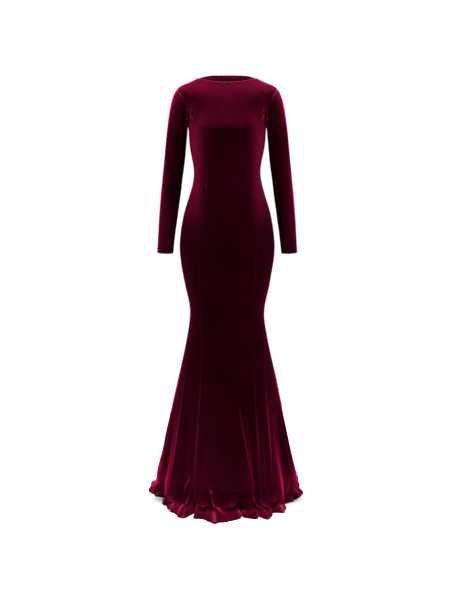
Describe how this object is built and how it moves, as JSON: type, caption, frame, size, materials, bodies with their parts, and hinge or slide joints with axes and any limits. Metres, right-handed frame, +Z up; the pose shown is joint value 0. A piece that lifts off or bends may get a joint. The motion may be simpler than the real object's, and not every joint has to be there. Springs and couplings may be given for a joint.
{
  "type": "maxi dress",
  "caption": "Floor-length fitted gown with long set-in sleeves, a boat neck, princess seams and a skirt flaring from the knee to a puddled hem, hollow as worn.",
  "frame": {"origin": "where the wearer's shoulders hold the gown: on its middle line, level with the neck edge's ends on the shoulders, 1.493 m above the floor", "axes": "+Z up along the wearer's height, -Y the front, +X the wearer's left"},
  "size_m": [0.5633, 0.6791, 1.506],
  "materials": {
    "velvet": "burgundy stretch velvet with a soft nap and a bright sheen at the sides"
  },
  "bodies": {
    "root": {"centre_front": "velvet", "centre_back": "velvet", "side_front_left": "velvet", "side_front_right": "velvet", "side_back_left": "velvet", "side_back_right": "velvet", "sleeve_left": "velvet", "sleeve_right": "velvet", "neck_facing_back": "velvet"}
  },
  "joints": []
}
